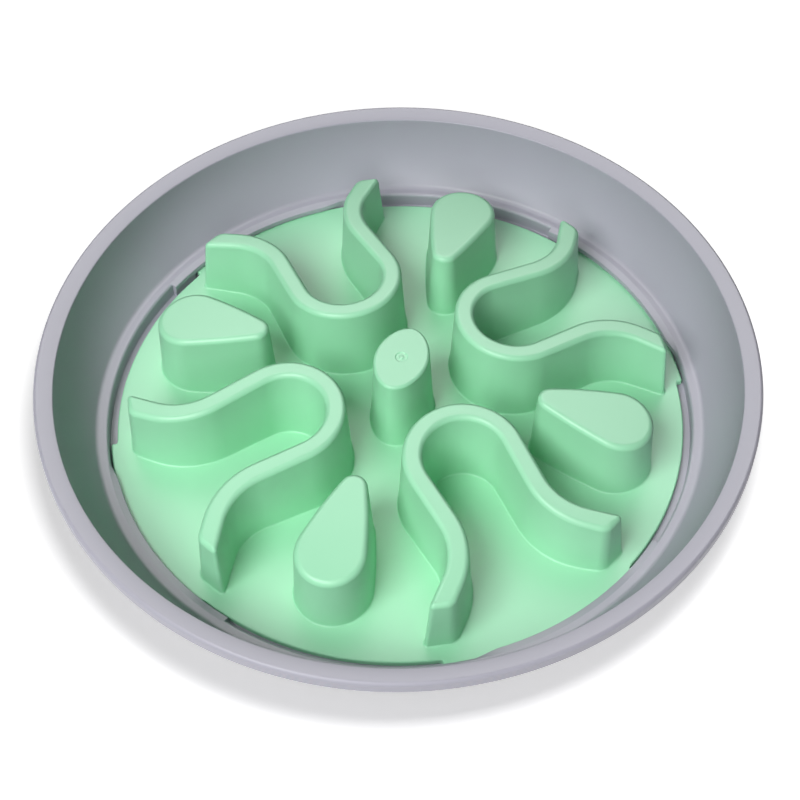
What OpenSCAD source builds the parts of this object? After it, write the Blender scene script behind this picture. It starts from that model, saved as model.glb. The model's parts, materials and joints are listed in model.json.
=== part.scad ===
// Slow feeder bowl: a wide shallow bowl and a maze insert that twists into it.
// Sizes are in millimetres. The bowl stands at z = 0 on its foot pads, +Z is up,
// and the Z axis is the bowl's own axis. The insert is drawn locked in place.
// The maze sets the size of the plate, and the plate that of the bowl: 290 across the rim.

/* [Bowl] */
// Width of the bowl's side, from the ledge round the recess to the outside of the rim
side_w = 19.6; // [16:0.1:40]
// Height of the rim above the table
bowl_h = 46.8; // [44:0.2:60]
// Width of the band round the top of the rim
rim_w = 7.6; // [6.5:0.1:10]
// How far the inner edge of the band lies below its outer edge
rim_fall = 1.4; // [1:0.1:3]
// Radius of the rim's outer edge
rim_round = 1.5; // [1:0.1:3]
// Depth of the turned-down edge of the rim
skirt_h = 5.6; // [4:0.1:8]
// Thickness of the turned-down edge
skirt_t = 2.2; // [1.6:0.1:2.6]
// Thickness of the moulded bowl
shell_t = 2.8; // [2:0.1:3.4]
// Radius of the hollow curve of the bowl's side
cove_r = 49; // [40:1:90]
// Width of the flat ledge round the recess
ledge_w = 5; // [4:0.1:6]
// Depth of the recess below the ledge
recess_h = 6.8; // [5.5:0.1:8]

/* [Feet] */
// Diameter of a foot pad
pad_d = 22; // [16:1:26]
// Thickness of a foot pad
pad_t = 3; // [2.5:0.1:4]
// How far a pad is let into its boss
pad_sink = 1.5; // [1:0.1:2]
// How far the foot ring lies inside the edge of the bowl's base
foot_inset_w = 13.8; // [8:0.1:30]
// Height of a boss below the bowl's floor
boss_h = 4; // [3.5:0.1:6]

/* [Insert plate] */
// Width of the plate's edge outside the walls
plate_edge_w = 8.2; // [5:0.1:20]
// Thickness of the plate
plate_t = 3; // [2.5:0.1:3.5]
// How far a lug stands out from the plate's edge
lug_reach = 2.6; // [2.2:0.1:3]
// Angle by which a lug is shorter than the gap that it comes out through
lug_play = 3; // [1:0.5:20]

/* [Twist lock] */
// Angle that one retaining lip covers
lip_span = 45; // [30:1:60]
// Angle from a post to the start of the next lip, with the insert locked
lip_start = 28.3; // [0:0.1:45]
// Angle of the stop at the end of each lip
stop_span = 6; // [4:0.5:8]
// Angle between a lug and its stop, with the insert locked
stop_play = 0.8; // [0.3:0.1:2]
// How far a lip falls from the ledge to its inner edge
lip_fall = 0.8; // [0:0.1:1.2]
// Gap between a lip and the plate's edge
lip_gap = 1.4; // [1:0.1:1.8]

/* [Maze walls] */
// Height of the insert above its plate, at the middle
crest_h = 37; // [32:0.5:42]
// Radius of the dome that the tops of the walls and posts follow
crown_r = 610; // [500:10:900]
// Thickness of a wall at its top
wall_w = 7.6; // [6:0.1:8]
// Draft of every side, in degrees
draft = 3; // [1:0.1:3.5]
// Thickness of the moulded insert round its hollows
skin_t = 2.2; // [1.6:0.1:2.4]
// Radius of the rounded top edges
crest_round = 1.8; // [1:0.1:2.4]
// Least width of the lane between the middle post and a loop
middle_lane_w = 12.4; // [8:0.1:20]
// Radius of a loop, to the middle of the wall
loop_r = 20.3; // [16:0.1:26]
// Angle by which the arms lean together after the loop
arm_lean = 3; // [0:0.5:6]
// Length of the straight run between the loop and the flare
run_l = 20.3; // [10:0.1:30]
// Radius of the flare at the end of an arm
flare_r = 27; // [20:0.5:34]
// Angle through which an arm turns outwards in its flare
flare_turn = 54; // [30:1:65]
// Length of the straight end of an arm, after the flare
tail_l = 10.6; // [8:0.1:20]

/* [Posts] */
// Width of the plate's edge outside the posts
post_edge_w = 13.8; // [8:0.1:20]
// Length of a post between the centres of its two ends
post_l = 27.8; // [20:0.1:36]
// Radius of the round end, at the top
post_big_r = 13.4; // [10:0.1:18]
// Radius of the narrow end, at the top
post_small_r = 5.3; // [4.6:0.1:8]
// Length of the middle post, at the top
middle_l = 31; // [26:0.5:40]
// Width of the middle post, at the top
middle_w = 22.4; // [16:0.2:26]

/* [Hidden] */
$fn = 128;

// Four of each: posts on the X and Y axes, walls, pads and lips between them
quarter = 90;
half_way = quarter / 2;

// Clearances and overruns
over_l = 1;
bite_w = 0.6;
lug_gap_w = 0.6;
lug_lift_h = 0.35;
pad_gap_w = 0.15;
bevel_w = 0.5;
step_h = 0.6;

// Heights
pad_show = pad_t - pad_sink;
under_z = pad_show + boss_h;
floor_z = under_z + shell_t;
plate_z = floor_z + plate_t;
ledge_z = floor_z + recess_h;
crest_z = plate_z + crest_h;
skirt_z = bowl_h - skirt_h;

// The middle line of one half of a wall, with the loop opening along +X: round the loop, straight
// along the arm, outwards round the flare and straight on to its end
turn = quarter - arm_lean;
end_turn = turn + flare_turn - quarter;
loop_at = middle_l / 2 + middle_lane_w + wall_w / 2 + loop_r;
run_start = [loop_at + loop_r * cos(turn), loop_r * sin(turn)];
run_end = run_start + run_l * [sin(turn), -cos(turn)];
flare_c = run_end + flare_r * [cos(turn), sin(turn)];
flare_end = flare_c + flare_r * [sin(end_turn), -cos(end_turn)];
arm_end = flare_end + tail_l * [cos(end_turn), sin(end_turn)];

// Radii, from the walls out to the rim
arm_reach = norm(arm_end);
plate_r = arm_reach + plate_edge_w;
lip_r = plate_r + lip_gap;
lug_r = plate_r + lug_reach;
recess_r = lug_r + lug_gap_w;
ledge_r = recess_r + ledge_w;
bowl_r = ledge_r + side_w;
rim_r = bowl_r - rim_w;
base_r = recess_r + shell_t;

// Places that follow from these
foot_w = shell_t;
foot_r = recess_r - foot_inset_w;
pad_at = foot_r - foot_w - shell_t - pad_d / 2;
post_far = plate_r - post_edge_w - post_big_r;
post_near = post_far - post_l;
lug_span = quarter - lip_span - lug_play;
lug_start = lip_start + lip_span - stop_span - stop_play - lug_span;

// The hollow side runs as one arc from the ledge up to the band of the rim
side_low = [ledge_r, ledge_z + step_h];
side_top = [rim_r, bowl_h - rim_fall];
side_mid = (side_low + side_top) / 2;
side_run = side_top - side_low;
side_l = norm(side_run);
side_in = [-side_run[1], side_run[0]] / side_l;
side_c = side_mid + side_in * sqrt(cove_r * cove_r - side_l * side_l / 4);
band_under = bowl_h - shell_t;

function angle_of(p) = atan2(p[1] - side_c[1], p[0] - side_c[0]);
function arc(c, r, a0, a1, n) = [
    for (i = [0 : n])
        let (a = a0 + (a1 - a0) * i / n)
        [c[0] + r * cos(a), c[1] + r * sin(a)]
];

side_steps = 12;
round_steps = 6;
outer_r = cove_r + shell_t;
outer_top = asin((band_under - side_c[1]) / outer_r);

// Section of the bowl, half of it, from the middle of its underside
module bowl_section() {
    polygon(concat(
        [
            [0, under_z],
            [foot_r - foot_w, under_z],
            [foot_r - foot_w, pad_show + bevel_w],
            [foot_r, pad_show + bevel_w],
            [foot_r, under_z]
        ],
        arc([base_r - shell_t, under_z + shell_t], shell_t, -90, 0, round_steps),
        arc(side_c, outer_r, angle_of(side_low), outer_top, side_steps),
        [
            [bowl_r - skirt_t, band_under],
            [bowl_r - skirt_t, skirt_z],
            [bowl_r, skirt_z]
        ],
        arc([bowl_r - rim_round, bowl_h - rim_round], rim_round, 0, 90, round_steps),
        arc(side_c, cove_r, angle_of(side_top), angle_of(side_low), side_steps),
        [
            [ledge_r, ledge_z],
            [recess_r + bevel_w, ledge_z],
            [recess_r, ledge_z - bevel_w],
            [recess_r, floor_z],
            [0, floor_z]
        ]
    ));
}

// One retaining lip: the ledge drawn inwards over a lug, falling a little to its inner edge
module lip() {
    rotate([0, 0, lip_start])
        rotate_extrude(angle = lip_span)
            polygon([
                [lip_r, plate_z + lug_lift_h],
                [recess_r + 2 * bevel_w, plate_z + lug_lift_h],
                [recess_r + 2 * bevel_w, ledge_z - bevel_w / 2],
                [lip_r, ledge_z - lip_fall]
            ]);
}

// The block under the end of a lip that a lug turns against
module stop_block() {
    rotate([0, 0, lip_start + lip_span - stop_span])
        rotate_extrude(angle = stop_span)
            polygon([
                [lip_r, floor_z - bite_w],
                [recess_r + bite_w, floor_z - bite_w],
                [recess_r + bite_w, plate_z + lug_lift_h + bite_w],
                [lip_r, plate_z + lug_lift_h + bite_w]
            ]);
}

module at_pad(k) {
    rotate([0, 0, half_way + quarter * k])
        translate([pad_at, 0, 0])
            children();
}

module bowl() {
    color("#a9a8b4")
        difference() {
            union() {
                rotate_extrude() bowl_section();
                for (k = [0 : 3]) {
                    rotate([0, 0, quarter * k]) lip();
                    rotate([0, 0, quarter * k]) stop_block();
                    at_pad(k)
                        translate([0, 0, pad_show])
                            cylinder(d = pad_d + 2 * shell_t, h = boss_h + bite_w);
                }
            }
            for (k = [0 : 3])
                at_pad(k)
                    translate([0, 0, pad_show - over_l])
                        cylinder(d = pad_d + 2 * pad_gap_w, h = pad_sink + over_l);
        }
}

// A pad: a disc with a bevelled lower edge
module foot_pad(k) {
    color("#3a3b40")
        at_pad(k)
            rotate_extrude()
                polygon([
                    [0, 0],
                    [pad_d / 2 - bevel_w, 0],
                    [pad_d / 2, bevel_w],
                    [pad_d / 2, pad_t],
                    [0, pad_t]
                ]);
}

// Height of the dome that the tops of walls and posts follow, at a distance from the axis
function crown(r) = crest_z - crown_r + sqrt(crown_r * crown_r - r * r);

// A level of a hollow block is [flat, z, inset]: at the height z where flat is true, and else
// at z below the dome. Its sides lie inwards of the drafted side by the inset.
flat = true;
domed = false;
outside = concat(
    [[flat, plate_z, 0]],
    [for (a = [0 : quarter / 3 : quarter]) [domed, crest_round * (1 - sin(a)), crest_round * (1 - cos(a))]]
);
hollow_foot = [flat, plate_z, skin_t];
hollow = [[domed, skin_t, skin_t], hollow_foot];

// The points of one level. An outline gives the place of step k on one side, moved out by o
function level_points(outline, steps, level) = [
    for (side = [1, -1], k = side > 0 ? [0 : 1 : steps] : [steps : -1 : 0])
        let (r = norm(outline(k, side, 0)))
        let (z = level[0] ? level[1] : crown(r) - level[1])
        let (p = outline(k, side, (crest_z - z) * tan(draft) - level[2]))
        [p[0], p[1], z]
];

// A closed solid from levels: a skin runs through them all, and the first and last are closed
// by strips from one side of the outline to the other
module block(outline, steps, levels) {
    m = 2 * (steps + 1);
    last = m * (len(levels) - 1);
    polyhedron(
        points = [for (level = levels) each level_points(outline, steps, level)],
        faces = concat(
            [
                for (j = [0 : len(levels) - 2], i = [0 : m - 1])
                    let (a = j * m + i, b = j * m + (i + 1) % m)
                    each [[a, b, b + m], [a, b + m, a + m]]
            ],
            [for (i = [0 : steps - 1]) each [[i, m - 1 - i, m - 2 - i], [i, m - 2 - i, i + 1]]],
            [
                for (i = [0 : steps - 1])
                    each [
                        [last + i, last + i + 1, last + m - 2 - i],
                        [last + i, last + m - 2 - i, last + m - 1 - i]
                    ]
            ]
        )
    );
}

// The opening in the plate below a hollow block
module slot(outline, steps) {
    translate([0, 0, floor_z - over_l])
        linear_extrude(height = plate_t + 2 * over_l)
            polygon([for (p = level_points(outline, steps, hollow_foot)) [p[0], p[1]]]);
}

// A wall's outline. Step wall_apex is the loop's far end, and a side of 1 is the outside of the
// loop.
loop_steps = 11;
flare_steps = 6;
wall_apex = loop_steps + flare_steps + 2;

function loop_point(h, r) =
    let (a = 2 * quarter - (2 * quarter - turn) * h / loop_steps)
    [loop_at + r * cos(a), r * sin(a)];

function flare_point(h, r) =
    let (a = turn + 2 * quarter + flare_turn * h / flare_steps)
    flare_c + r * [cos(a), sin(a)];

// Where a line from p in the direction t meets the circle of radius r round the axis
function on_circle(p, t, r) = p + (sqrt((p * t) * (p * t) - p * p + r * r) - p * t) * t;

wall_outline = function(k, side, o)
    let (h = abs(k - wall_apex))
    let (e = side * (wall_w / 2 + o))
    let (heading = [cos(end_turn), sin(end_turn)])
    let (p = h <= loop_steps
        ? loop_point(h, loop_r + e)
        : h < wall_apex
            ? flare_point(h - loop_steps - 1, flare_r - e)
            : on_circle(flare_point(flare_steps, flare_r - e), heading, arm_reach + o))
    [p[0], sign(k - wall_apex) * p[1]];

// A post's outline: round its narrow end and then round its far end
end_steps = 5;
far_steps = 9;
post_lean = asin((post_big_r - post_small_r) / (post_far - post_near));

post_outline = function(k, side, o)
    let (near = k <= end_steps)
    let (share = near ? (k + 1 / 2) / (end_steps + 1 / 2) : (k - end_steps - 1) / (far_steps + 1 / 2))
    let (a = near
        ? 2 * quarter - (quarter - post_lean) * share
        : (quarter + post_lean) * (1 - share))
    let (r = (near ? post_small_r : post_big_r) + o)
    [(near ? post_near : post_far) + r * cos(a), side * r * sin(a)];

// The middle post's outline is an ellipse
middle_steps = 17;
middle_outline = function(k, side, o)
    let (a = 2 * quarter * (1 - (k + 1 / 2) / (middle_steps + 1)))
    let (p = [middle_w / 2 * cos(a), middle_l / 2 * sin(a)])
    let (n = [middle_l * cos(a), middle_w * sin(a)])
    let (q = p + o * n / norm(n))
    [q[0], side * q[1]];

post_steps = end_steps + far_steps + 1;

module at_wall(k) {
    rotate([0, 0, half_way + quarter * k]) children();
}

module maze_wall(k) {
    color("#a5dfb9")
        at_wall(k) block(wall_outline, 2 * wall_apex, concat(hollow, outside));
}

module post(k) {
    color("#a5dfb9")
        rotate([0, 0, quarter * k]) block(post_outline, post_steps, concat(hollow, outside));
}

module middle_post() {
    color("#a5dfb9")
        block(middle_outline, middle_steps, concat(hollow, outside));
}

// The plate that carries the maze, open below each hollow wall and post
module insert_plate() {
    color("#9cdcb2")
        difference() {
            union() {
                translate([0, 0, floor_z])
                    cylinder(r = plate_r, h = plate_t);
                for (k = [0 : 3])
                    rotate([0, 0, lug_start + quarter * k])
                        rotate_extrude(angle = lug_span)
                            polygon([
                                [plate_r - bite_w, floor_z],
                                [lug_r, floor_z],
                                [lug_r, plate_z],
                                [plate_r - bite_w, plate_z]
                            ]);
            }
            for (k = [0 : 3]) {
                at_wall(k) slot(wall_outline, 2 * wall_apex);
                rotate([0, 0, quarter * k]) slot(post_outline, post_steps);
            }
            slot(middle_outline, middle_steps);
        }
}

bowl();
foot_pad(0);  // foot_pad_1
foot_pad(1);  // foot_pad_2
foot_pad(2);  // foot_pad_3
foot_pad(3);  // foot_pad_4
insert_plate();
middle_post();
post(0);  // post_right
post(1);  // post_back
post(2);  // post_left
post(3);  // post_front
maze_wall(0);  // maze_wall_back_right
maze_wall(1);  // maze_wall_back_left
maze_wall(2);  // maze_wall_front_left
maze_wall(3);  // maze_wall_front_right
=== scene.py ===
"""The slow feeder bowl, dressed over its frame.

Everything is in metres in the frame's axes: the bowl stands on z = 0, +Z is its own axis,
the teardrop posts lie along X and Y and the maze walls lie between them.
"""
import json
import math

import bmesh
import bpy
from mathutils import Matrix, Vector


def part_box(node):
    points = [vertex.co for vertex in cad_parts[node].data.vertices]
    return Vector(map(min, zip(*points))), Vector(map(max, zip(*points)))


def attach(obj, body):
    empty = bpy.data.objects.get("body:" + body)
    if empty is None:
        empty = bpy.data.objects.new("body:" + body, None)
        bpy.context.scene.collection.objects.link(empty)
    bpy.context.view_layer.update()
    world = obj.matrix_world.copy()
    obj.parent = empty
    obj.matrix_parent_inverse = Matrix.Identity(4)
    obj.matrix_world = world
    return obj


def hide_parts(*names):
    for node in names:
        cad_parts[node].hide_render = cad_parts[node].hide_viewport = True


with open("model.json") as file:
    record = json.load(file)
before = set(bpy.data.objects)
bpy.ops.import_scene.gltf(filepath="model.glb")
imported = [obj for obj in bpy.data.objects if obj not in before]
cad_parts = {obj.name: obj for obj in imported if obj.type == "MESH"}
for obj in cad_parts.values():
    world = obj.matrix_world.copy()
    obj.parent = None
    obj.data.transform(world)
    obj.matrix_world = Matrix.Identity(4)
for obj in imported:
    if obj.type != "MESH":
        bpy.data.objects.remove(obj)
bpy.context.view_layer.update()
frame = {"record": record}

# Units, directions and angles
MM = 0.001
UP = Vector((0, 0, 1))
QUARTER = math.radians(90)
HALF_WAY = QUARTER / 2

# Sizes read from the frame
plate_low, plate_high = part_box("insert_plate")
pad_low, pad_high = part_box("foot_pad_1")
bowl_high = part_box("bowl")[1]
bowl_r = bowl_high.x
rim_z = bowl_high.z
floor_z = plate_low.z
plate_z = plate_high.z
crest_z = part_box("middle_post")[1].z

# The rim: a crowned band that falls inwards, and its turned-down skirt
RIM_W = 7.6 * MM
RIM_FALL = 1.4 * MM
RIM_CROWN = 0.15 * MM
RIM_ROUND = 1.5 * MM
RIM_INNER_ROUND = 0.7 * MM
SKIRT_H = 5.6 * MM
SKIRT_T = 2.2 * MM

# The side, the ledge at its foot and the recess that the insert lies in
SHELL_T = 2.8 * MM
COVE_R = 49 * MM
SIDE_W = 19.6 * MM
STEP_H = 0.6 * MM
LEDGE_W = 5 * MM
LEDGE_ROUND = 3 * MM
RECESS_H = 6.8 * MM
RECESS_ROUND = 1.25 * MM
EDGE_ROUND = 0.5 * MM

# The foot ring, the bosses and the pads that are let into them
BOSS_H = 4 * MM
FOOT_LIFT = 0.5 * MM
FOOT_INSET = 13.8 * MM
PAD_D = 22 * MM
PAD_SINK = 1.5 * MM
PAD_GAP = 0.15 * MM
PAD_ROUND = 0.5 * MM

# The ribs in a pad's tread: their number, width and height, and the width of their slopes
PAD_RIBS = 3
RIB_W = 0.9 * MM
RIB_H = 0.35 * MM
RIB_SLOPE = 0.3 * MM

# The twist lock: four lips over the plate's four lugs, and a stop under the end of each lip
LIP_START = math.radians(28.3)
LIP_SPAN = math.radians(45)
LIP_RAMP = math.radians(7)
RAMP_START_SHARE = 0.05
LIP_FALL = 0.8 * MM
LIP_ROUND = 0.5 * MM
LIP_GAP = 1.4 * MM
STOP_SPAN = math.radians(6)
LUG_START = math.radians(24.5)
LUG_SPAN = math.radians(42)
LUG_REACH = 2.6 * MM
LUG_LIFT = 0.35 * MM
LUG_ROUND = 0.9 * MM

# The plate, and what all the walls and posts on it share
PLATE_R = 117.2 * MM
PLATE_ROUND = 0.7 * MM
FOOT_ROUND = 0.8 * MM
SKIN_T = 2.2 * MM
DRAFT = math.radians(3)
CROWN_R = 610 * MM

# A maze wall: a loop, and on each side a straight run, a flare that turns outwards and a tail
WALL_W = 7.6 * MM
LOOP_PLACE = 52 * MM
LOOP_R = 20.3 * MM
ARM_LEAN = math.radians(3)
RUN_L = 20.3 * MM
FLARE_R = 27 * MM
FLARE_TURN = math.radians(54)
TAIL_L = 10.6 * MM
WALL_ROUND = 2.1 * MM
END_ROUND = 2.8 * MM

# A teardrop post: its round far end, its narrow near end and how far its sides bow out
POST_FAR = 90 * MM
POST_BIG_R = 13.4 * MM
POST_NEAR = 62.2 * MM
POST_SMALL_R = 5.3 * MM
POST_BOW = 0.5 * MM
POST_ROUND = 2.3 * MM

# Shares of the way round a post's outline at which its far end ends and its near end starts
FAR_SHARE = 0.45
NEAR_SHARE = 0.75

# The middle post is an oval: a power of 2 makes an ellipse, and a lower one narrows its ends
MIDDLE_L = 32 * MM
MIDDLE_W = 21.8 * MM
MIDDLE_POWER = 1.85
MIDDLE_ROUND = 1.3 * MM

# The gate mark: radius and depth of its dish, and radius of the nub in it
GATE_R = 2.6 * MM
GATE_H = 0.35 * MM
NUB_R = 0.8 * MM

# Steps round the shapes, segments across their rounds and cuts across their crowned tops
BOWL_STEPS = 288
SIDE_STEPS = 22
ROUND_STEPS = 5
LIP_STEP = math.radians(0.75)
PLATE_STEPS = 720
LOOP_STEPS = 24
FLARE_STEPS = 16
BLOCK_STEPS = 112
DISC_STEPS = 96
GATE_STEPS = 64
FLOOR_STEPS = 64
CREST_SEGMENTS = 6
MIDDLE_SEGMENTS = 5
EDGE_SEGMENTS = 4
LUG_SEGMENTS = 3
BAND_CUTS = 3
POST_CUTS = 9
MIDDLE_CUTS = 6
SETTLE_PASSES = 4

# Overruns, tolerances, a level face's least upward share and the angle of a sharp edge
DIP = 1 * MM
BITE = 0.6 * MM
NEAR = 0.01 * MM
SNAP = 0.3 * MM
LEVEL_SHARE = 0.97
SMOOTH_ANGLE = math.radians(35)

# Places on the bowl that follow from these
ledge_r = bowl_r - SIDE_W
recess_r = ledge_r - LEDGE_W
lip_r = PLATE_R + LIP_GAP
ledge_z = floor_z + RECESS_H
pad_show = pad_high.z - PAD_SINK
under_z = pad_show + BOSS_H
foot_z = pad_show + FOOT_LIFT
foot_r = recess_r - FOOT_INSET
pad_at = (pad_low + pad_high).xy.length / 2

# The bowl's side is one hollow arc, and it runs on down to the ledge
side_low = Vector((ledge_r, ledge_z + STEP_H))
side_top = Vector((bowl_r - RIM_W, rim_z - RIM_FALL))
side_run = side_top - side_low
side_in = Vector((-side_run.y, side_run.x)).normalized()
cove = (side_low + side_top) / 2 + side_in * math.sqrt(COVE_R**2 - side_run.length_squared / 4)
side_foot = Vector((cove.x + math.sqrt(COVE_R**2 - (cove.y - ledge_z) ** 2), ledge_z))

# The range that a noise mostly lies in, over which a pattern goes from one end to the other
NOISE_RANGE = (0.3, 0.7)

# The look of the plastics: shades, roughness, and the sizes of the grain and the flow clouds
MINT_SHADES = ("#98DBB2", "#9FE0B8")
MINT_ROUGH = 0.38
MINT_GRAIN = 0.35 * MM
MINT_FLOW = 60 * MM
GREY_SHADES = ("#A09FAA", "#A6A5B1")
GREY_ROUGH = 0.4
GREY_GRAIN = 0.35 * MM
GREY_FLOW = 90 * MM
ROUGH_SPREAD = 0.03
GRAIN_DEPTH_SHARE = 1 / 6
PLASTIC_IOR = 1.49

# The look of the rubber: shades, roughness, and the size of its tooth
RUBBER_SHADES = ("#313236", "#3E4045")
RUBBER_ROUGH = 0.75
RUBBER_TOOTH = 0.4 * MM
TOOTH_DEPTH_SHARE = 1 / 4
RUBBER_IOR = 1.52

# The view: angles, distance from the rim's middle and how far that lies off the lens's axis
VIEW_DOWN = math.radians(53.14)
VIEW_ROLL = math.radians(2.956)
VIEW_TURN = math.radians(12.99)
VIEW_AWAY = 685.5 * MM
VIEW_RIGHT = -35.4 * MM
VIEW_UP = 16.4 * MM
VIEW_LENS = 77.1
VIEW_SENSOR = 36
VIEW_SHIFT = -0.1125

# The floor: its radius in metres, and its colour
FLOOR_R = 12
FLOOR_TONE = "#F3F3F3"

# The white added for the camera: less under the bowl as a painted shade, full away from it, and
# where that changes
FLOOR_GLOW_AND_PAINTED_SHADE = (0.56, 1)
PAINTED_SHADE_EDGE = (0.19, 0.26)

# The room's even light
ROOM_TONE = "#FFFFFF"
ROOM_LEVEL = 0.072

# The lamps: turn round the bowl, height over it, distance, width, length and power
KEY_BOX = (math.radians(-22), math.radians(52), 1.5, 0.8, 0.8, 22)
FILL_BOX = (math.radians(13), math.radians(35), 1.5, 0.7, 0.7, 4.5)
SHEEN_CARD = (math.radians(193), math.radians(53), 1.6, 1.9, 1.25, 35)
FLOOR_BOX = (math.radians(27), math.radians(70), 0.664, 0.14, 0.14, 3.2)


def crown(x, y):
    """Height of the dome that the insert's tops follow."""
    return crest_z - CROWN_R + math.sqrt(CROWN_R ** 2 - x ** 2 - y ** 2)


def edit(piece):
    """Opens a piece for editing with nothing selected, and returns its editable mesh."""
    if bpy.context.mode != "OBJECT":
        bpy.ops.object.mode_set(mode="OBJECT")
    bpy.ops.object.select_all(action="DESELECT")
    bpy.context.view_layer.objects.active = piece
    piece.select_set(True)
    bpy.ops.object.mode_set(mode="EDIT")
    bpy.ops.mesh.select_all(action="DESELECT")
    return bmesh.from_edit_mesh(piece.data)


def named(name):
    """The object that was just made, under its name and with its place in its mesh."""
    piece = bpy.context.object
    piece.name = name
    piece.data.name = name
    piece.data.transform(piece.matrix_basis)
    piece.matrix_basis = Matrix.Identity(4)
    bpy.context.view_layer.update()
    return piece


def pick(mesh, kind, test):
    """Selects the vertices, edges or faces that pass a test, and nothing else."""
    bpy.ops.mesh.select_all(action="DESELECT")
    bpy.ops.mesh.select_mode(type=kind)
    items = {"VERT": mesh.verts, "EDGE": mesh.edges, "FACE": mesh.faces}[kind]
    for item in items:
        if test(item):
            item.select_set(True)
    mesh.select_flush_mode()
    bmesh.update_edit_mesh(bpy.context.object.data)


def close_skin(merge):
    """Merges the open mesh's doubles within a distance, and turns its faces outwards."""
    bpy.ops.mesh.select_all(action="SELECT")
    bpy.ops.mesh.remove_doubles(threshold=merge)
    bpy.ops.mesh.normals_make_consistent(inside=False)


def bevel(radius, segments, **settings):
    """Rounds the selected edges."""
    bpy.ops.mesh.bevel(
        offset=radius, segments=segments, affect="EDGES", clamp_overlap=False, **settings
    )


def modify(piece, kind, **settings):
    """Adds a modifier to a piece and applies it."""
    bpy.context.view_layer.objects.active = piece
    modifier = piece.modifiers.new(kind.title(), kind)
    for key, value in settings.items():
        setattr(modifier, key, value)
    bpy.ops.object.modifier_apply(modifier=modifier.name)


def combine(piece, others, operation):
    """Joins others, which lie clear of one another, to a piece, or cuts them out of it."""
    bpy.ops.object.select_all(action="DESELECT")
    for other in others:
        other.select_set(True)
    bpy.context.view_layer.objects.active = others[0]
    bpy.ops.object.join()
    modify(piece, "BOOLEAN", operation=operation, object=others[0], solver="EXACT")
    bpy.data.objects.remove(others[0])
    return piece


def turned(piece, angle, name):
    """A copy of a piece, turned about the bowl's axis."""
    copy = piece.copy()
    copy.data = piece.data.copy()
    copy.name = name
    copy.data.name = name
    bpy.context.scene.collection.objects.link(copy)
    copy.data.transform(Matrix.Rotation(angle, 4, "Z"))
    return copy


def sharp(edge, low):
    """True on an edge that turns by more than a quarter of a right angle, above a height."""
    return (
        len(edge.link_faces) == 2
        and edge.calc_face_angle() > QUARTER / 4
        and max(v.co.z for v in edge.verts) > low + NEAR
    )


def flat_sheet(name, x, top_w, foot_w, foot_z):
    """A drafted section in the XZ plane: one face from the foot up to the dome's highest point."""
    height = crest_z - foot_z
    middle = (x, 0, foot_z + height / 2)
    bpy.ops.object.select_all(action="DESELECT")
    bpy.ops.mesh.primitive_plane_add(size=1, location=middle, rotation=(QUARTER, 0, 0))
    sheet = named(name)
    mesh = edit(sheet)
    bpy.ops.mesh.select_all(action="SELECT")
    bpy.ops.transform.resize(value=(top_w, 1, height), center_override=middle)
    pick(mesh, "VERT", lambda v: v.co.z < foot_z + NEAR)
    bpy.ops.transform.resize(value=(foot_w / top_w, 1, 1), center_override=middle)
    return sheet


def settle_on_dome(mesh):
    """Slides the top vertices down their own side edges until they lie on the dome."""
    for v in [v for v in mesh.verts if v.co.z > crest_z - NEAR]:
        foot = min((e.other_vert(v) for e in v.link_edges), key=lambda other: other.co.z)
        run = foot.co - v.co
        start = v.co.copy()
        for _ in range(SETTLE_PASSES):
            v.co = start + run * ((start.z - crown(v.co.x, v.co.y)) / -run.z)


def wall_block(name, inset, drop, foot_z):
    """A maze wall by itself, its loop opening along +X, with plain edges.

    The section runs round half the loop, along the arm, round the flare and on past the end;
    the end is cut off square to the bowl's radius, and the half is mirrored.
    """
    half_w = WALL_W / 2 - inset
    foot_w = half_w + (crest_z - foot_z) * math.tan(DRAFT)
    wall = flat_sheet(name, LOOP_PLACE - LOOP_R, 2 * half_w, 2 * foot_w, foot_z)
    turn = QUARTER - ARM_LEAN
    along = Vector((math.sin(turn), -math.cos(turn), 0))
    outwards = Vector((math.cos(turn), math.sin(turn), 0))
    loop_c = Vector((LOOP_PLACE, 0, 0))
    run_end = loop_c + LOOP_R * outwards + RUN_L * along
    flare_c = run_end + FLARE_R * outwards
    heading = Matrix.Rotation(FLARE_TURN, 3, "Z") @ along
    flare_end = flare_c - FLARE_R * (Matrix.Rotation(FLARE_TURN, 3, "Z") @ outwards)
    arm_end = flare_end + heading * TAIL_L

    bpy.ops.mesh.select_all(action="SELECT")
    bpy.ops.mesh.spin(steps=LOOP_STEPS, angle=2 * QUARTER - turn, center=loop_c, axis=UP)
    bpy.ops.mesh.extrude_region_move(TRANSFORM_OT_translate={"value": along * RUN_L})
    bpy.ops.mesh.spin(steps=FLARE_STEPS, angle=-FLARE_TURN, center=flare_c, axis=UP)
    bpy.ops.mesh.extrude_region_move(TRANSFORM_OT_translate={"value": heading * 2 * TAIL_L})
    end_out = arm_end.normalized()
    bpy.ops.mesh.select_all(action="SELECT")
    bpy.ops.mesh.bisect(
        plane_co=arm_end - end_out * inset + UP * crest_z,
        plane_no=end_out + UP * math.tan(DRAFT),
        use_fill=True,
        clear_outer=True,
    )
    mesh = bmesh.from_edit_mesh(wall.data)
    pick(mesh, "FACE", lambda f: abs(f.calc_center_median().y) < NEAR)
    bpy.ops.mesh.delete(type="ONLY_FACE")
    bpy.ops.object.mode_set(mode="OBJECT")
    modify(wall, "MIRROR", use_axis=(False, True, False), merge_threshold=NEAR)
    return finish_block(wall, drop)


def finish_block(piece, drop):
    """Closes a block's skin, turns it outwards and lays its top on the dome."""
    edit(piece)
    close_skin(NEAR)
    mesh = bmesh.from_edit_mesh(piece.data)
    settle_on_dome(mesh)
    pick(mesh, "VERT", lambda v: v.co.z > plate_z + DIP)
    bpy.ops.transform.translate(value=(0, 0, -drop))
    bpy.ops.object.mode_set(mode="OBJECT")
    return piece


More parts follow.
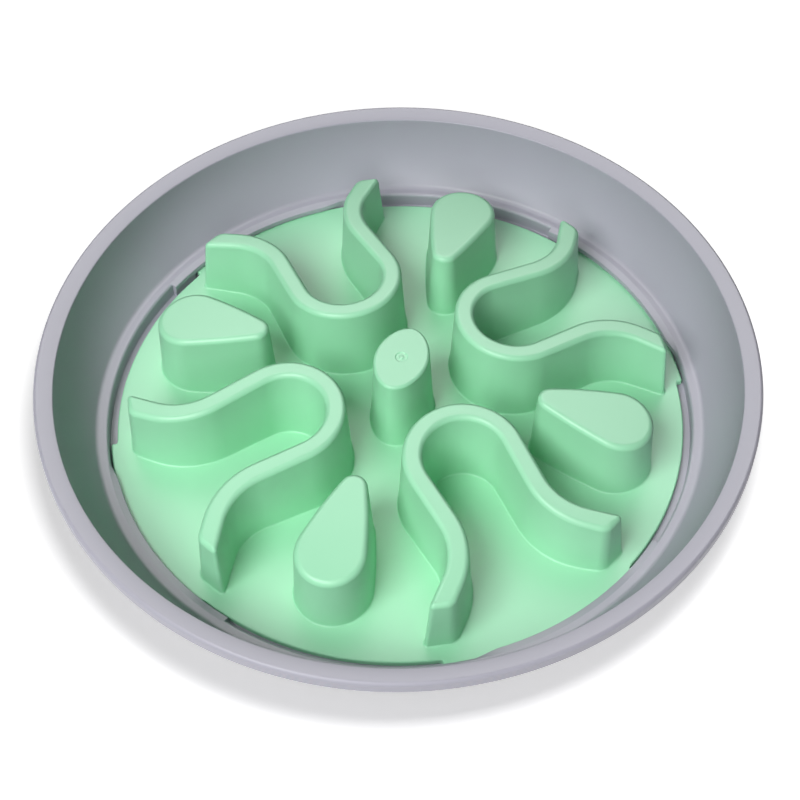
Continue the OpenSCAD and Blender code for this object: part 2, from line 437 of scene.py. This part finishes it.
def drafted_block(name, outline, inset, drop, foot_z):
    """A block inside an outline: a cylinder whose rim points are moved to where the outline says.

    The outline gives the place at an angle, moved out by a distance; the draft widens the foot.
    """
    bpy.ops.object.select_all(action="DESELECT")
    bpy.ops.mesh.primitive_cylinder_add(vertices=BLOCK_STEPS, radius=1, depth=2)
    block = named(name)
    mesh = edit(block)
    for v in mesh.verts:
        z = crest_z if v.co.z > 0 else foot_z
        angle = math.atan2(v.co.y, v.co.x)
        place = outline(abs(angle), (crest_z - z) * math.tan(DRAFT) - inset)
        v.co = Vector((place.x, math.copysign(place.y, angle), z))
    bmesh.update_edit_mesh(block.data)
    bpy.ops.object.mode_set(mode="OBJECT")
    return finish_block(block, drop)


def crown_top(piece, cuts):
    """Cuts a rounded block's flat top across, and lays the cuts on the dome."""
    for place, across in cuts:
        edit(piece)
        bpy.ops.mesh.select_all(action="SELECT")
        bpy.ops.mesh.bisect(plane_co=place, plane_no=across, threshold=SNAP)
    mesh = bmesh.from_edit_mesh(piece.data)
    for v in mesh.verts:
        if v.co.z > plate_z and all(f.normal.z > LEVEL_SHARE for f in v.link_faces):
            v.co.z = crown(v.co.x, v.co.y)
    bmesh.update_edit_mesh(piece.data)
    bpy.ops.object.mode_set(mode="OBJECT")


def spaced(start, end, count):
    """Places evenly spaced between two ends, without the ends."""
    return [start + (end - start) * i / (count + 1) for i in range(1, count + 1)]


def teardrop(angle, out):
    """Half of a post's outline: round its far end, along its bowed side and round its narrow end."""
    length = POST_FAR - POST_NEAR

    def on_side(share):
        """The side's place at a share of its length, and the direction that it faces there."""
        x = POST_NEAR + length * share
        r = POST_SMALL_R + (POST_BIG_R - POST_SMALL_R) * share + POST_BOW * 4 * share * (1 - share)
        slope = (POST_BIG_R - POST_SMALL_R + POST_BOW * 4 * (1 - 2 * share)) / length
        return x, r, math.acos(-slope)

    share = angle / (2 * QUARTER)
    if share < FAR_SHARE:
        x, r, facing = on_side(1)
        facing *= share / FAR_SHARE
    elif share < NEAR_SHARE:
        x, r, facing = on_side((NEAR_SHARE - share) / (NEAR_SHARE - FAR_SHARE))
    else:
        x, r, facing = on_side(0)
        facing += (2 * QUARTER - facing) * (share - NEAR_SHARE) / (1 - NEAR_SHARE)
    return Vector((x + (r + out) * math.cos(facing), (r + out) * math.sin(facing)))


def oval(angle, out):
    """Half of the middle post's outline: an oval with narrowed ends, moved out by a distance."""

    def raised(value, power):
        """A number raised to a power, with its sign kept."""
        return math.copysign(abs(value) ** power, value)

    across = math.cos(angle)
    along = math.sin(angle)
    power = 2 / MIDDLE_POWER
    place = Vector((MIDDLE_W / 2 * raised(across, power), MIDDLE_L / 2 * raised(along, power)))
    facing = Vector((MIDDLE_L * raised(across, 2 - power), MIDDLE_W * raised(along, 2 - power)))
    return place + out * facing.normalized()


def post_block(name, inset, drop, foot_z):
    """A teardrop post by itself, on the X axis."""
    return drafted_block(name, teardrop, inset, drop, foot_z)


def middle_block(name, inset, drop, foot_z):
    """The middle post by itself."""
    return drafted_block(name, oval, inset, drop, foot_z)


def round_upright(piece, low, radius, segments):
    """Rounds the upright corners of a piece that stands on a height."""
    mesh = edit(piece)

    def upright(edge):
        """True on a sharp edge that rises by at least the plate's thickness."""
        rise = abs(edge.verts[0].co.z - edge.verts[1].co.z)
        return sharp(edge, low) and rise > plate_z - floor_z - NEAR

    pick(mesh, "EDGE", upright)
    bevel(radius, segments)
    bpy.ops.object.mode_set(mode="OBJECT")


def round_top(piece, radius, segments):
    """Rounds every sharp edge of a block above its foot."""
    mesh = edit(piece)
    pick(mesh, "EDGE", lambda e: sharp(e, plate_z) and min(v.co.z for v in e.verts) > plate_z)
    bevel(radius, segments)
    bpy.ops.object.mode_set(mode="OBJECT")
    return piece


def plate_disc():
    """The insert's plate: a disc, with four lugs drawn out of its edge, and rounded edges."""
    bpy.ops.object.select_all(action="DESELECT")
    bpy.ops.mesh.primitive_cylinder_add(
        vertices=PLATE_STEPS,
        radius=PLATE_R,
        depth=plate_z - floor_z,
        location=(0, 0, (plate_z + floor_z) / 2),
    )
    plate = named("plate")
    mesh = edit(plate)

    def in_lug(face):
        """True on a face of the plate's edge where a lug goes."""
        place = face.calc_center_median()
        angle = (math.atan2(place.y, place.x) - LUG_START) % QUARTER
        return abs(face.normal.z) < 0.5 and angle < LUG_SPAN

    pick(mesh, "FACE", in_lug)
    bpy.ops.mesh.extrude_region_shrink_fatten(
        TRANSFORM_OT_shrink_fatten={"value": LUG_REACH, "use_even_offset": True}
    )
    round_upright(plate, floor_z, LUG_ROUND, LUG_SEGMENTS)
    mesh = edit(plate)
    half_t = (plate_z - floor_z) / 2
    pick(mesh, "EDGE", lambda e: sharp(e, 0) and abs(e.verts[0].co.z - e.verts[1].co.z) < half_t)
    bevel(PLATE_ROUND, EDGE_SEGMENTS)
    bpy.ops.object.mode_set(mode="OBJECT")
    return plate


def foot_fillets(piece):
    """Rounds the inner corner where the walls and posts rise from the plate."""
    mesh = edit(piece)

    def at_foot(edge):
        """True on an inner corner at the plate's top."""
        return (
            all(abs(v.co.z - plate_z) < NEAR for v in edge.verts)
            and len(edge.link_faces) == 2
            and edge.calc_face_angle() > QUARTER / 2
            and not edge.is_convex
        )

    pick(mesh, "EDGE", at_foot)
    bevel(FOOT_ROUND, EDGE_SEGMENTS, loop_slide=False)
    bpy.ops.object.mode_set(mode="OBJECT")


def smooth(piece):
    """Shades a piece smooth across its rounds, with the flat faces kept flat."""
    bpy.ops.object.select_all(action="DESELECT")
    bpy.context.view_layer.objects.active = piece
    piece.select_set(True)
    bpy.ops.object.shade_smooth_by_angle(angle=SMOOTH_ANGLE, keep_sharp_edges=False)
    modify(piece, "WEIGHTED_NORMAL", keep_sharp=True)


def maze_insert():
    """The insert as one moulding: plate, walls and posts joined, and hollow from below."""
    solid_foot = plate_z - DIP
    wall = wall_block("maze_wall", 0, 0, solid_foot)
    round_upright(wall, plate_z, END_ROUND, CREST_SEGMENTS)
    round_top(wall, WALL_ROUND, CREST_SEGMENTS)
    post = round_top(post_block("post", 0, 0, solid_foot), POST_ROUND, CREST_SEGMENTS)
    tip = POST_NEAR - POST_SMALL_R
    cuts = [((x, 0, 0), (1, 0, 0)) for x in spaced(tip, POST_FAR + POST_BIG_R, POST_CUTS)]
    crown_top(post, cuts + [((0, 0, 0), (0, 1, 0))])
    middle = round_top(middle_block("middle", 0, 0, solid_foot), MIDDLE_ROUND, MIDDLE_SEGMENTS)
    cuts = [((0, y, 0), (0, 1, 0)) for y in spaced(-MIDDLE_L / 2, MIDDLE_L / 2, MIDDLE_CUTS)]
    crown_top(middle, cuts + [((0, 0, 0), (1, 0, 0))])
    insert = combine(plate_disc(), [middle] + four(post, 0) + four(wall, HALF_WAY), "UNION")
    foot_fillets(insert)

    hollow_foot = floor_z - DIP
    wall_core = wall_block("wall_core", SKIN_T, SKIN_T, hollow_foot)
    post_core = post_block("post_core", SKIN_T, SKIN_T, hollow_foot)
    middle_core = middle_block("middle_core", SKIN_T, SKIN_T, hollow_foot)
    cores = [middle_core] + four(post_core, 0) + four(wall_core, HALF_WAY)
    combine(insert, cores + [gate_mark()], "DIFFERENCE")
    insert.name = "maze_insert"
    insert.data.name = "maze_insert"
    smooth(insert)
    return insert


def arc(middle, radius, start, end, steps):
    """Places along an arc in the section plane, each a distance from the axis and a height."""
    angles = [start + (end - start) * i / steps for i in range(steps + 1)]
    return [(middle[0] + radius * math.cos(a), middle[1] + radius * math.sin(a)) for a in angles]


def rounded(corners):
    """An open outline with its corners rounded: each corner is a place and its radius."""
    places = []
    for i, corner in enumerate(corners):
        here = Vector(corner[:2])
        radius = corner[2] if len(corner) > 2 else 0
        if radius == 0 or i in (0, len(corners) - 1):
            places.append(here)
            continue
        back = (Vector(corners[i - 1][:2]) - here).normalized()
        ahead = (Vector(corners[i + 1][:2]) - here).normalized()
        half = back.angle(ahead) / 2
        middle = here + (back + ahead).normalized() * radius / math.sin(half)
        first = here + back * radius / math.tan(half) - middle
        last = here + ahead * radius / math.tan(half) - middle
        start = math.atan2(first.y, first.x)
        turn = (math.atan2(last.y, last.x) - start + math.pi) % (2 * math.pi) - math.pi
        places += [Vector(q) for q in arc(middle, radius, start, start + turn, ROUND_STEPS)]
    return places


def section(name, places):
    """A chain of edges through places in the XZ plane, drawn out from one point."""
    bpy.ops.object.select_all(action="DESELECT")
    bpy.ops.mesh.primitive_plane_add(size=1)
    piece = named(name)
    edit(piece)
    bpy.ops.mesh.select_all(action="SELECT")
    bpy.ops.mesh.merge(type="CENTER")
    bpy.ops.transform.translate(value=(places[0][0], 0, places[0][1]))
    for before, place in zip(places, places[1:]):
        step = (place[0] - before[0], 0, place[1] - before[1])
        bpy.ops.mesh.extrude_vertices_move(TRANSFORM_OT_translate={"value": step})
    return piece


def lathe(name, places, steps):
    """A closed solid turned about the axis from an outline that starts and ends on it."""
    piece = section(name, places)
    bpy.ops.mesh.select_all(action="SELECT")
    bpy.ops.mesh.spin(steps=steps, angle=4 * QUARTER, center=(0, 0, 0), axis=UP)
    close_skin(NEAR / 2)
    bpy.ops.object.mode_set(mode="OBJECT")
    return piece


def swept(name, places, start, span, steps):
    """A closed solid: an outline carried round the axis through an angle."""
    piece = section(name, places)
    bpy.ops.mesh.select_all(action="SELECT")
    bpy.ops.mesh.edge_face_add()
    bpy.ops.mesh.spin(steps=steps, angle=-span, center=(0, 0, 0), axis=UP)
    close_skin(NEAR / 2)
    bpy.ops.object.mode_set(mode="OBJECT")
    piece.data.transform(Matrix.Rotation(start, 4, "Z"))
    return piece


def gate_mark():
    """What the moulding's gate leaves on the middle post: a shallow dish with a low nub in it."""
    low = crest_z - GATE_H
    nub = crest_z - GATE_H / 4
    return lathe(
        "gate_mark",
        rounded(
            [
                (0, nub),
                (NUB_R, nub, GATE_H / 3),
                (NUB_R + GATE_H, low, GATE_H / 2),
                (GATE_R - GATE_H, low, GATE_H / 2),
                (GATE_R, crest_z),
                (GATE_R + DIP, crest_z + DIP),
                (0, crest_z + DIP),
            ]
        ),
        GATE_STEPS,
    )


def bowl_outline():
    """Half of the bowl's section, from the middle of its underside round to the floor's middle."""
    low = math.atan2(side_foot.y - cove.y, side_foot.x - cove.x)
    top = math.atan2(side_top.y - cove.y, side_top.x - cove.x)
    under_band = rim_z - SHELL_T
    outer_top = math.asin((under_band - cove.y) / (COVE_R + SHELL_T))
    outer_side = arc(cove, COVE_R + SHELL_T, low, outer_top, SIDE_STEPS)
    inner_side = arc(cove, COVE_R, top, low, SIDE_STEPS)
    crest_r = bowl_r - RIM_ROUND
    band = []
    for share in spaced(0, 1, BAND_CUTS):
        rise = RIM_CROWN * 4 * share * (1 - share)
        band.append((crest_r + (side_top.x - crest_r) * share, rim_z - RIM_FALL * share + rise))
    return rounded(
        [
            (0, under_z),
            (foot_r - SHELL_T, under_z, EDGE_ROUND),
            (foot_r - SHELL_T, foot_z, EDGE_ROUND),
            (foot_r, foot_z, EDGE_ROUND),
            (foot_r, under_z, EDGE_ROUND),
            (recess_r + SHELL_T, under_z, SHELL_T),
            (outer_side[0][0], outer_side[0][1], EDGE_ROUND),
            *outer_side[1:-1],
            (outer_side[-1][0], under_band, EDGE_ROUND),
            (bowl_r - SKIRT_T, under_band, EDGE_ROUND),
            (bowl_r - SKIRT_T, rim_z - SKIRT_H, EDGE_ROUND),
            (bowl_r, rim_z - SKIRT_H, EDGE_ROUND),
            *arc((crest_r, rim_z - RIM_ROUND), RIM_ROUND, 0, QUARTER, ROUND_STEPS + 2),
            *band,
            (side_top.x, side_top.y, RIM_INNER_ROUND),
            *inner_side[1:-1],
            (side_foot.x, side_foot.y, LEDGE_ROUND),
            (recess_r, ledge_z, RECESS_ROUND),
            (recess_r, floor_z, EDGE_ROUND),
            (0, floor_z),
        ]
    )


def lip_outline():
    """Section of one retaining lip: the ledge drawn inwards over a lug, falling a little."""
    under = plate_z + LUG_LIFT
    root_r = recess_r + RECESS_ROUND
    return rounded(
        [
            (root_r, under),
            (root_r, ledge_z - NEAR),
            (lip_r, ledge_z - LIP_FALL, LIP_ROUND),
            (lip_r, under, LIP_ROUND),
            (root_r, under),
        ]
    )[:-1]


def retaining_lip():
    """One lip, which starts inside the ledge's edge and reaches its width along a ramp."""
    lip = swept("lip", lip_outline(), LIP_START, LIP_SPAN, round(LIP_SPAN / LIP_STEP))
    mesh = edit(lip)
    base = recess_r + LIP_ROUND
    for v in mesh.verts:
        share = (math.atan2(v.co.y, v.co.x) - LIP_START) / LIP_RAMP
        out = v.co.xy.length
        if share < 1 and out < base:
            reach = max(share * share * (3 - 2 * share), RAMP_START_SHARE)
            v.co.xy *= (base + (out - base) * reach) / out
    bmesh.update_edit_mesh(lip.data)
    bpy.ops.object.mode_set(mode="OBJECT")
    return lip


def stop_outline():
    """Section of the block under the end of a lip."""
    top = plate_z + LUG_LIFT + BITE
    inner_r = lip_r + LIP_ROUND / 2
    return [
        (inner_r, floor_z - BITE),
        (recess_r + BITE, floor_z - BITE),
        (recess_r + BITE, top),
        (inner_r, top),
    ]


def disc(name, radius, low, high, edge_round):
    """A round block at a pad's place, with its lower edge rounded."""
    bpy.ops.object.select_all(action="DESELECT")
    bpy.ops.mesh.primitive_cylinder_add(
        vertices=DISC_STEPS,
        radius=radius,
        depth=high - low,
        location=(pad_at, 0, (low + high) / 2),
    )
    piece = named(name)
    if edge_round:
        mesh = edit(piece)
        pick(mesh, "EDGE", lambda e: sharp(e, 0) and abs(e.verts[0].co.z - low) < NEAR)
        bevel(edge_round, EDGE_SEGMENTS)
        bpy.ops.object.mode_set(mode="OBJECT")
    return piece


def four(part, first):
    """Four turned copies of a part, the first at an angle; the part itself goes."""
    copies = [turned(part, first + QUARTER * k, f"{part.name}_{k}") for k in range(4)]
    bpy.data.objects.remove(part)
    return copies


def feeder_bowl():
    """The bowl as one moulding: turned shell, retaining lips, stops and pad bosses."""
    bowl = lathe("feeder_bowl", bowl_outline(), BOWL_STEPS)
    stop_start = LIP_START + LIP_SPAN - STOP_SPAN
    stop = swept("stop", stop_outline(), stop_start, STOP_SPAN, round(STOP_SPAN / LIP_STEP))
    lock = combine(retaining_lip(), [stop], "UNION")
    boss = disc("boss", PAD_D / 2 + SHELL_T, pad_show, under_z + BITE, EDGE_ROUND)
    seat = disc("seat", PAD_D / 2 + PAD_GAP, pad_show - DIP, pad_high.z, 0)
    combine(bowl, four(lock, 0) + four(boss, HALF_WAY), "UNION")
    combine(bowl, four(seat, HALF_WAY), "DIFFERENCE")
    smooth(bowl)
    return bowl


def foot_pad():
    """One rubber pad: a disc with a rounded tread edge and ribs pressed into its underside."""
    pad = disc("pad", PAD_D / 2, pad_low.z, pad_high.z, PAD_ROUND)
    mesh = edit(pad)
    pick(mesh, "FACE", lambda f: f.normal.z < -LEVEL_SHARE and len(f.verts) > 4)
    for _ in range(PAD_RIBS):
        bpy.ops.mesh.inset(thickness=RIB_W)
        bpy.ops.mesh.inset(thickness=RIB_SLOPE, depth=-RIB_H)
        bpy.ops.mesh.inset(thickness=RIB_W)
        bpy.ops.mesh.inset(thickness=RIB_SLOPE, depth=RIB_H)
    bpy.ops.object.mode_set(mode="OBJECT")
    smooth(pad)
    return pad


def linear(hex_code):
    """An sRGB hex colour as linear RGBA."""
    parts = [int(hex_code[i : i + 2], 16) / 255 for i in (1, 3, 5)]
    return [c / 12.92 if c <= 0.04045 else ((c + 0.055) / 1.055) ** 2.4 for c in parts] + [1]


def material(name):
    """An empty node material, and its tree."""
    made = bpy.data.materials.new(name)
    made.use_nodes = True
    made.node_tree.nodes.clear()
    return made, made.node_tree


def add_node(tree, kind, inputs=None, **settings):
    """Adds a node; an input is a constant, or a pair of the node and the output that feed it."""
    made = tree.nodes.new(kind)
    for key, value in settings.items():
        setattr(made, key, value)
    for key, value in (inputs or {}).items():
        if isinstance(value, tuple) and isinstance(value[0], bpy.types.Node):
            tree.links.new(value[0].outputs[value[1]], made.inputs[key])
        else:
            made.inputs[key].default_value = value
    return made


def ramp(tree, source, shades):
    """A colour ramp from one shade to the other, over the range in which noise mostly lies."""
    made = add_node(tree, "ShaderNodeValToRGB", {"Fac": source})
    for element, place, shade in zip(made.color_ramp.elements, NOISE_RANGE, shades):
        element.position = place
        element.color = linear(shade)
    return made


def moulded_plastic(name, shades, rough, grain, flow):
    """Injection-moulded polypropylene: a soft satin skin over a fine spark-eroded grain.

    The eye sees a broad soft highlight, a faint cloudiness where the melt flowed, and edges
    that stay crisp. The grain is drawn coarser than the real 0.15 mm so that it shows.
    """
    made, tree = material(name)
    place = add_node(tree, "ShaderNodeTexCoord")
    clouds = add_node(
        tree,
        "ShaderNodeTexNoise",
        {"Vector": (place, "Object"), "Scale": 1 / flow, "Detail": 3, "Roughness": 0.45},
    )
    colour = ramp(tree, (clouds, "Fac"), shades)
    fine = add_node(
        tree,
        "ShaderNodeTexNoise",
        {"Vector": (place, "Object"), "Scale": 1 / grain, "Detail": 2, "Roughness": 0.5},
    )
    sheen = add_node(
        tree,
        "ShaderNodeMapRange",
        {
            "Value": (clouds, "Fac"),
            "From Min": NOISE_RANGE[0],
            "From Max": NOISE_RANGE[1],
            "To Min": rough - ROUGH_SPREAD,
            "To Max": rough + ROUGH_SPREAD,
        },
    )
    bump = add_node(
        tree,
        "ShaderNodeBump",
        {"Height": (fine, "Fac"), "Strength": 0.25, "Distance": grain * GRAIN_DEPTH_SHARE},
    )
    surface = add_node(
        tree,
        "ShaderNodeBsdfPrincipled",
        {
            "Base Color": (colour, "Color"),
            "Roughness": (sheen, "Result"),
            "Normal": (bump, "Normal"),
            "IOR": PLASTIC_IOR,
        },
    )
    add_node(tree, "ShaderNodeOutputMaterial", {"Surface": (surface, "BSDF")})
    return made


def moulded_rubber(name):
    """Moulded thermoplastic rubber: near black, dull, with a fine tooth."""
    made, tree = material(name)
    place = add_node(tree, "ShaderNodeTexCoord")
    tooth = add_node(
        tree,
        "ShaderNodeTexNoise",
        {"Vector": (place, "Object"), "Scale": 1 / RUBBER_TOOTH, "Detail": 3, "Roughness": 0.6},
    )
    colour = ramp(tree, (tooth, "Fac"), RUBBER_SHADES)
    depth = RUBBER_TOOTH * TOOTH_DEPTH_SHARE
    bump = add_node(
        tree, "ShaderNodeBump", {"Height": (tooth, "Fac"), "Strength": 0.5, "Distance": depth}
    )
    surface = add_node(
        tree,
        "ShaderNodeBsdfPrincipled",
        {
            "Base Color": (colour, "Color"),
            "Roughness": RUBBER_ROUGH,
            "Normal": (bump, "Normal"),
            "IOR": RUBBER_IOR,
        },
    )
    add_node(tree, "ShaderNodeOutputMaterial", {"Surface": (surface, "BSDF")})
    return made


def finish_piece(piece, body, slot, surface, *nodes):
    """Gives a piece its body and its material, and hides the nodes that it stands for; its slot is
    not used.
    """
    piece.data.materials.clear()
    piece.data.materials.append(surface)
    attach(piece, body)
    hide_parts(*nodes)


def shadow_catcher_white(name):
    """A white sweep: the camera sees it white, with the object's own soft shadow on it and a painted
    shade round the bowl, where less white is added.
    """
    made, tree = material(name)
    rays = add_node(tree, "ShaderNodeLightPath")
    seen = add_node(
        tree,
        "ShaderNodeMath",
        {0: (rays, "Is Camera Ray"), 1: (rays, "Is Glossy Ray")},
        operation="MAXIMUM",
    )
    place = add_node(tree, "ShaderNodeTexCoord")
    away = add_node(tree, "ShaderNodeVectorMath", {0: (place, "Object")}, operation="LENGTH")
    # Less white near the axis: a painted shade round the bowl, on top of its real shadow
    level = add_node(
        tree,
        "ShaderNodeMapRange",
        {
            "Value": (away, "Value"),
            "From Min": PAINTED_SHADE_EDGE[0],
            "From Max": PAINTED_SHADE_EDGE[1],
            "To Min": FLOOR_GLOW_AND_PAINTED_SHADE[0],
            "To Max": FLOOR_GLOW_AND_PAINTED_SHADE[1],
        },
        interpolation_type="SMOOTHSTEP",
    )
    glow_with_painted_shade = add_node(
        tree,
        "ShaderNodeMath",
        {0: (seen, "Value"), 1: (level, "Result")},
        operation="MULTIPLY",
    )
    matt = add_node(tree, "ShaderNodeBsdfDiffuse", {"Color": linear(FLOOR_TONE)})
    light = add_node(tree, "ShaderNodeEmission", {"Strength": (glow_with_painted_shade, "Value")})
    both = add_node(tree, "ShaderNodeAddShader", {0: (matt, "BSDF"), 1: (light, "Emission")})
    add_node(tree, "ShaderNodeOutputMaterial", {"Surface": (both, "Shader")})
    return made


def studio_floor():
    """The sweep that the bowl stands on: a wide flat round."""
    bpy.ops.object.select_all(action="DESELECT")
    bpy.ops.mesh.primitive_circle_add(vertices=FLOOR_STEPS, radius=FLOOR_R, fill_type="NGON")
    floor = named("studio_floor")
    floor.data.materials.append(shadow_catcher_white("white_sweep_painted_shade"))
    return floor


def studio_world():
    """Even light from all round, which the camera sees as white."""
    world = bpy.data.worlds.new("studio")
    world.use_nodes = True
    tree = world.node_tree
    tree.nodes.clear()
    rays = add_node(tree, "ShaderNodeLightPath")
    level = add_node(
        tree,
        "ShaderNodeMapRange",
        {"Value": (rays, "Is Camera Ray"), "To Min": ROOM_LEVEL, "To Max": 1},
    )
    light = add_node(
        tree,
        "ShaderNodeBackground",
        {"Color": linear(ROOM_TONE), "Strength": (level, "Result")},
    )
    add_node(tree, "ShaderNodeOutputWorld", {"Surface": (light, "Background")})
    bpy.context.scene.world = world


def softbox(name, turn, height, distance, width, length, watts):
    """A soft lamp aimed at the bowl: how far it is turned round it, and how high above it."""
    flat = distance * math.cos(height)
    place = Vector((flat * math.sin(turn), -flat * math.cos(turn), distance * math.sin(height)))
    bpy.ops.object.light_add(type="AREA", location=place)
    lamp = bpy.context.object
    lamp.name = name
    lamp.data.shape = "RECTANGLE"
    lamp.data.size = width
    lamp.data.size_y = length
    lamp.data.energy = watts
    lamp.rotation_mode = "QUATERNION"
    lamp.rotation_quaternion = (place - Vector((0, 0, rim_z / 2))).to_track_quat("Z", "Y")
    return lamp


def lit_by(lamp, floor, state):
    """Makes a lamp light nothing but the floor, or everything except it."""
    group = bpy.data.collections.new(f"{lamp.name}_{state.lower()}")
    group.objects.link(floor)
    lamp.light_linking.receiver_collection = group
    group.collection_objects[0].light_linking.link_state = state


def studio_camera():
    """The photograph's own viewpoint, worked out from the rim, the plate and the posts."""
    look = Vector((0, math.cos(VIEW_DOWN), -math.sin(VIEW_DOWN)))
    level = Vector((1, 0, 0))
    over = level.cross(look)
    right = level * math.cos(VIEW_ROLL) + over * math.sin(VIEW_ROLL)
    top = over * math.cos(VIEW_ROLL) - level * math.sin(VIEW_ROLL)
    place = UP * rim_z - look * VIEW_AWAY - right * VIEW_RIGHT - top * VIEW_UP
    axes = Matrix((right, top, -look)).transposed().to_4x4()
    bpy.ops.object.camera_add()
    camera = bpy.context.object
    camera.name = "photo_view"
    camera.data.sensor_width = VIEW_SENSOR
    camera.data.lens = VIEW_LENS
    camera.data.shift_x = VIEW_SHIFT
    camera.matrix_world = Matrix.Rotation(VIEW_TURN, 4, "Z") @ Matrix.Translation(place) @ axes
    bpy.context.scene.camera = camera


insert = maze_insert()
bowl = feeder_bowl()
pads = four(foot_pad(), HALF_WAY)

mint = moulded_plastic("mint_polypropylene", MINT_SHADES, MINT_ROUGH, MINT_GRAIN, MINT_FLOW)
grey = moulded_plastic("grey_polypropylene", GREY_SHADES, GREY_ROUGH, GREY_GRAIN, GREY_FLOW)
rubber = moulded_rubber("black_tpe_rubber")

insert_nodes = frame["record"]["behaviour"]["bodies"]["insert"]
finish_piece(insert, "insert", "insert_plastic", mint, *insert_nodes)
finish_piece(bowl, "bowl", "bowl_plastic", grey, "bowl")
for i, pad in enumerate(pads):
    pad.name = f"rubber_pad_{i + 1}"
    finish_piece(pad, "bowl", "pad_rubber", rubber, f"foot_pad_{i + 1}")

floor = studio_floor()
studio_world()
key = softbox("key_box", *KEY_BOX)
fill = softbox("fill_box", *FILL_BOX)
sheen = softbox("sheen_card", *SHEEN_CARD)
sheen.visible_diffuse = False
for lamp in (key, fill, sheen):
    lit_by(lamp, floor, "EXCLUDE")
lit_by(softbox("floor_box", *FLOOR_BOX), floor, "INCLUDE")
studio_camera()
bpy.context.scene.view_settings.view_transform = "Standard"
